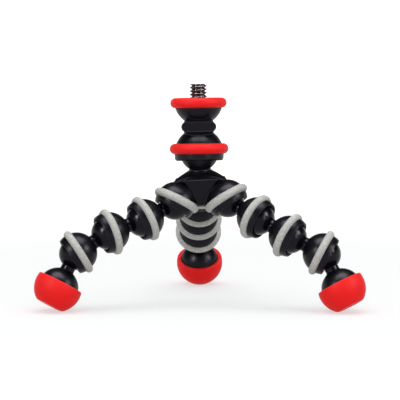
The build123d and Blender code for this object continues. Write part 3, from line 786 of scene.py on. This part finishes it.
housingHeights = np.concatenate([
    cavityLine[:, 1], lipLine[:, 1], levels, topLine[:, 1], [head["bowlTop"], recessUp, recessUp],
])
housingRadii[0] = 0
housing = roundSurface("headHousing", housingRadii, housingHeights, headMiddle, headUp, headAcross)
dress(housing, "head", "black_plastic", materials["blackPlastic"], "head_housing")

badge = {
    "half": 6.4, "round": 1.925, "down": 0.1, "proud": 0.35, "sunk": 1.15, "rim": 0.4, "step": 0.2,
    "soft": 0.09, "turns": 96,
}


# A plate with round ends: each row of (size, height) runs once round the outline, which is two half circles
# of that size on the ends of a straight middle. Rows with no size close it along its middle, where they are
# welded.
def roundEndedPlate(name, middle, across, up, front):
    count = badge["turns"]
    turns = np.linspace(0, 2 * math.pi, count, endpoint=False) + math.pi / count
    shift = np.where(np.cos(turns) > 0, 1.0, -1.0) * (badge["half"] - badge["round"])
    full, rim, step = badge["round"], badge["rim"], badge["step"]
    rows = softened([
        (0, -badge["sunk"]), (full, -badge["sunk"]), (full, badge["proud"]), (full - rim, badge["proud"]),
        (full - rim, badge["proud"] - step), (0, badge["proud"] - step),
    ], badge["soft"], finest=0.03, coarsest=0.4)
    x = shift[None] + rows[:, :1] * np.cos(turns)[None]
    z = rows[:, :1] * np.sin(turns)[None]
    points = middle + x[..., None] * across + z[..., None] * up + rows[:, 1][:, None, None] * front
    row = np.arange(len(rows) - 1)[:, None] * count
    column = np.arange(count)[None]
    beside = (column + 1) % count
    quads = np.stack([row + column, row + beside, row + count + beside, row + count + column], axis=-1)
    return meshOf(name, points.reshape(-1, 3), quads, weld=True)


badgeMiddle = headMiddle + headUp * (head["gripMiddle"] - badge["down"]) + headFront * head["gripDeep"]
dress(roundEndedPlate("badgePlace", badgeMiddle, headAcross, headUp, headFront), "head", "black_plastic",
      materials["blackPlastic"])

pad = {"out": 10.325, "thick": 3.75, "round": 1.8, "bore": 3.275, "soft": 0.08}
padTop = head["bowlTop"] + pad["thick"]
padProfile = softened(np.vstack([
    [(pad["bore"], head["bowlTop"])],
    arc((pad["out"] - pad["round"], head["bowlTop"] + pad["round"]), pad["round"], -90, 0),
    arc((pad["out"] - pad["round"], padTop - pad["round"]), pad["round"], 0, 90),
    [(pad["bore"], padTop)],
]), pad["soft"], closed=True)
dress(turned("cameraPad", padProfile, headMiddle, headUp, head["turns"], closed=True), "head", "rubber_red",
      materials["redRubber"], "camera_pad")

screw = {
    "out": 3.175, "root": 2.44, "pitch": 1.27, "neck": 2.6, "reach": 5.095, "chamfer": 0.5, "coneSoft": 0.05,
    "crest": 0.14, "flank": 0.34, "crestUp": 2.45, "threadDown": 0.3, "tipStep": 0.12, "columns": 96,
    "rowStep": 0.04,
}


# Right-hand thread: the radius is a ridge with straight flanks, whose height rises one pitch in a turn. The
# ridge ends at the neck below, and the chamfer's cone cuts it at the top.
def threadRadius(heights, angles):
    turn = (heights - padTop - screw["crestUp"]) / screw["pitch"] - (angles - math.pi) / (2 * math.pi)
    away = np.abs((turn + 0.5) % 1.0 - 0.5) * screw["pitch"]
    ridge = np.clip((away - screw["crest"]) / screw["flank"], 0, 1)
    radius = screw["out"] - (screw["out"] - screw["root"]) * ridge
    cone = screw["out"] + padTop + screw["reach"] - screw["chamfer"] - heights
    return softMin(radius, cone, screw["coneSoft"])


screwTop = padTop + screw["reach"]
levels = np.append(np.arange(padTop - screw["threadDown"], screwTop, screw["rowStep"]), screwTop)
angles = np.linspace(0, 2 * math.pi, screw["columns"], endpoint=False)
thread = threadRadius(levels[:, None], angles[None])
wide = np.ones((1, screw["columns"]))
footRadii = hexagonRadius(angles, screwFoot["half"])[None]
footUp = head["bowlTop"] - screwFoot["thick"]
neckUp = levels[0] - 0.06
neck, tip = screw["neck"] * wide, thread[-1:, :] - screw["tipStep"]
screwRadii = np.vstack([0 * wide, footRadii, footRadii, neck, neck, thread, tip, 0 * wide])
screwHeights = np.concatenate([
    [footUp, footUp, head["bowlTop"], head["bowlTop"], neckUp], levels, [screwTop, screwTop],
])
dress(roundSurface("cameraScrew", screwRadii, screwHeights, headMiddle, headUp, headAcross), "head", "steel",
      materials["platedSteel"], "camera_screw")
print("head made")


# The magnets stay CAD nodes, behind the boots' floors
for side in sides:
    magnet = frame["nodes"][f"{side}_foot_magnet"]
    magnet.data.materials.clear()
    magnet.data.materials.append(materials["platedSteel"])


# Floor, light and camera

# floorLift is the glow of the floor that is seen, near the tripod and far off, between the distances
# liftFrom. floorGlow and airPower are what floor and air give to all other light. ceilingFrom holds the
# heights between which the seen air darkens to ceiling. cameraFrom and lens are in millimetres and all other
# lengths are in metres.
studio = {
    "floorRadius": 3.0, "floorTurns": 96, "floorColour": (0.389, 0.4, 0.402, 1), "floorLift": (0.56, 1.1),
    "liftFrom": (0.12, 0.6), "floorGlow": 0.26, "air": (1, 1, 1, 1), "airPower": 0.6, "ceiling": 0.05,
    "ceilingFrom": (0.08, 0.4), "aim": (0.0, -0.018, 0.04), "cameraFrom": (0.07, -1237.642, 170.52),
    "down": 6.17, "lens": 300.83,
}


def softbox(name, toward, distance, size, power, seenInGloss=True, lightsPlainly=True):
    data = bpy.data.lights.new(name, "AREA")
    data.shape = "RECTANGLE"
    data.size, data.size_y = size
    data.energy = power
    lamp = bpy.data.objects.new(name, data)
    toward = Vector(toward).normalized()
    lamp.location = Vector(studio["aim"]) + toward * distance
    lamp.rotation_euler = toward.to_track_quat("Z", "Y").to_euler()
    lamp.visible_glossy = seenInGloss
    lamp.visible_diffuse = lightsPlainly
    bpy.context.scene.collection.objects.link(lamp)


softbox("overheadBox", (0, -0.11, 0.99), 0.6, (0.7, 0.43), 2.2)
softbox("frontFill", (0.1, -0.9, 0.42), 1.4, (1.2, 0.9), 5.0, seenInGloss=False)
softbox("overheadSheen", (0, -0.11, 0.99), 0.59, (0.6, 0.42), 5.5, lightsPlainly=False)
softbox("leftSheen", (-0.63, -0.65, 0.42), 0.8, (0.19, 0.24), 4.2, lightsPlainly=False)
softbox("rightSheen", (0.81, -0.37, 0.46), 0.8, (0.3, 0.28), 4.2, lightsPlainly=False)
softbox("leftStrip", (-0.6, -0.74, 0.2), 0.82, (0.09, 0.4), 0.6, lightsPlainly=False)
softbox("rightStrip", (0.66, -0.7, 0.2), 0.82, (0.13, 0.4), 1.3, lightsPlainly=False)


# One for what the camera sees, straight, in a gloss or through glass, and nothing for all other light
def seenDirectly(tree):
    rays = tree.nodes.new("ShaderNodeLightPath")
    value = rays.outputs["Is Camera Ray"]
    for name in ("Is Glossy Ray", "Is Transmission Ray"):
        most = tree.nodes.new("ShaderNodeMath")
        most.operation = "MAXIMUM"
        tree.links.new(value, most.inputs[0])
        tree.links.new(rays.outputs[name], most.inputs[1])
        value = most.outputs["Value"]
    return value


floorMesh = bpy.data.meshes.new("studioFloor")
turns = np.linspace(0, 2 * math.pi, studio["floorTurns"], endpoint=False)
rim = np.stack([np.cos(turns), np.sin(turns), 0 * turns], axis=1) * studio["floorRadius"]
floorMesh.from_pydata(rim.tolist(), [], [list(range(len(rim)))])
floor = bpy.data.objects.new("studioFloor", floorMesh)
bpy.context.scene.collection.objects.link(floor)
paper = bpy.data.materials.new("studioPaper")
paper.use_nodes = True
tree = paper.node_tree
nodes, links = tree.nodes, tree.links
matte = nodes["Principled BSDF"]
matte.inputs["Base Color"].default_value = studio["floorColour"]
matte.inputs["Roughness"].default_value = 1.0
matte.inputs["Specular IOR Level"].default_value = 0.0
place = nodes.new("ShaderNodeTexCoord")
distance = nodes.new("ShaderNodeVectorMath")
distance.operation = "LENGTH"
links.new(place.outputs["Object"], distance.inputs[0])
lift = nodes.new("ShaderNodeMapRange")
lift.interpolation_type = "SMOOTHSTEP"
lift.inputs["From Min"].default_value, lift.inputs["From Max"].default_value = studio["liftFrom"]
lift.inputs["To Min"].default_value, lift.inputs["To Max"].default_value = studio["floorLift"]
links.new(distance.outputs["Value"], lift.inputs["Value"])
shown = nodes.new("ShaderNodeMix")
shown.data_type = "FLOAT"
shown.inputs["A"].default_value = studio["floorGlow"]
links.new(lift.outputs["Result"], shown.inputs["B"])
links.new(seenDirectly(tree), shown.inputs["Factor"])
glow = nodes.new("ShaderNodeEmission")
links.new(shown.outputs["Result"], glow.inputs["Strength"])
both = nodes.new("ShaderNodeAddShader")
links.new(matte.outputs["BSDF"], both.inputs[0])
links.new(glow.outputs["Emission"], both.inputs[1])
links.new(both.outputs["Shader"], nodes["Material Output"].inputs["Surface"])
floorMesh.materials.append(paper)

world = bpy.data.worlds.new("studioAir")
bpy.context.scene.world = world
world.use_nodes = True
tree = world.node_tree
background = tree.nodes["Background"]
direction = tree.nodes.new("ShaderNodeTexCoord")
parts = tree.nodes.new("ShaderNodeSeparateXYZ")
tree.links.new(direction.outputs["Generated"], parts.inputs["Vector"])
ceiling = tree.nodes.new("ShaderNodeMapRange")
ceiling.interpolation_type = "SMOOTHSTEP"
ceiling.inputs["From Min"].default_value, ceiling.inputs["From Max"].default_value = studio["ceilingFrom"]
ceiling.inputs["To Min"].default_value, ceiling.inputs["To Max"].default_value = 1.0, studio["ceiling"]
tree.links.new(parts.outputs["Z"], ceiling.inputs["Value"])
strength = tree.nodes.new("ShaderNodeMix")
strength.data_type = "FLOAT"
strength.inputs["A"].default_value = studio["airPower"]
tree.links.new(ceiling.outputs["Result"], strength.inputs["B"])
tree.links.new(seenDirectly(tree), strength.inputs["Factor"])
tree.links.new(strength.outputs["Result"], background.inputs["Strength"])
background.inputs["Color"].default_value = studio["air"]

lensData = bpy.data.cameras.new("photoCamera")
lensData.lens = studio["lens"]
lensData.sensor_width = 36.0
lensData.clip_start, lensData.clip_end = 0.05, 20.0
camera = bpy.data.objects.new("photoCamera", lensData)
camera.location = Vector(studio["cameraFrom"]) * mm
camera.rotation_euler = (math.radians(90 - studio["down"]), 0, 0)
bpy.context.scene.collection.objects.link(camera)
bpy.context.scene.camera = camera
bpy.context.scene.view_settings.view_transform = "Standard"
print("studio made")
